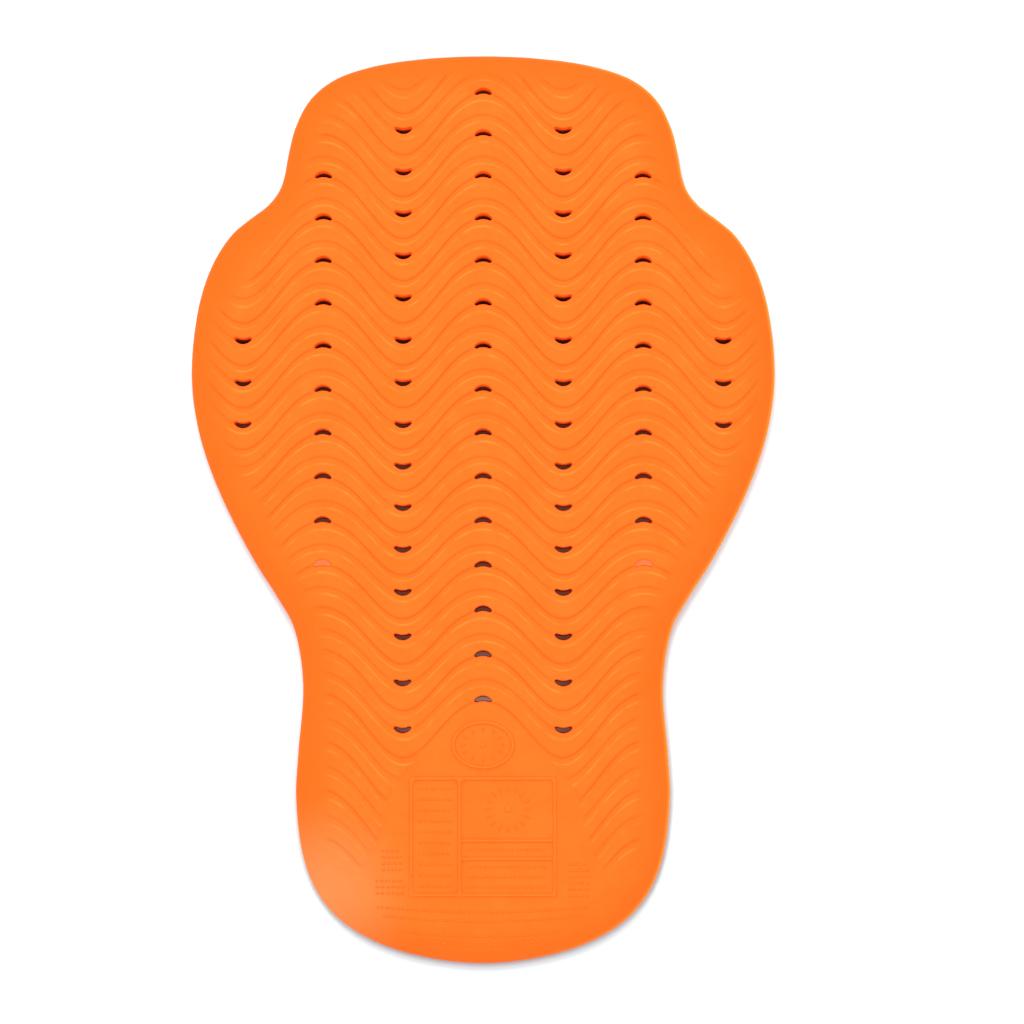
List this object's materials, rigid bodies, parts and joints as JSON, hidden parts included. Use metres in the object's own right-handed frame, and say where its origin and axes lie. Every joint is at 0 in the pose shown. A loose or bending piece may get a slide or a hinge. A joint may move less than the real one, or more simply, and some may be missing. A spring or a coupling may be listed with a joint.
{
  "type": "back protector",
  "caption": "Moulded soft-foam back protector pad with a waved rib field, rows of vent slots and a smooth panel at the waist end.",
  "frame": {"origin": "under the middle of the pad's bounding box, on the plane of the plain back face", "axes": "+Y along the pad towards its neck end, +X across the pad, +Z out of the ribbed face"},
  "size_m": [0.283, 0.44, 0.0131],
  "materials": {
    "foam": "moulded soft polyurethane foam with a satin closed skin, bright orange"
  },
  "bodies": {
    "root": {"foam_pad": "foam"}
  },
  "joints": []
}
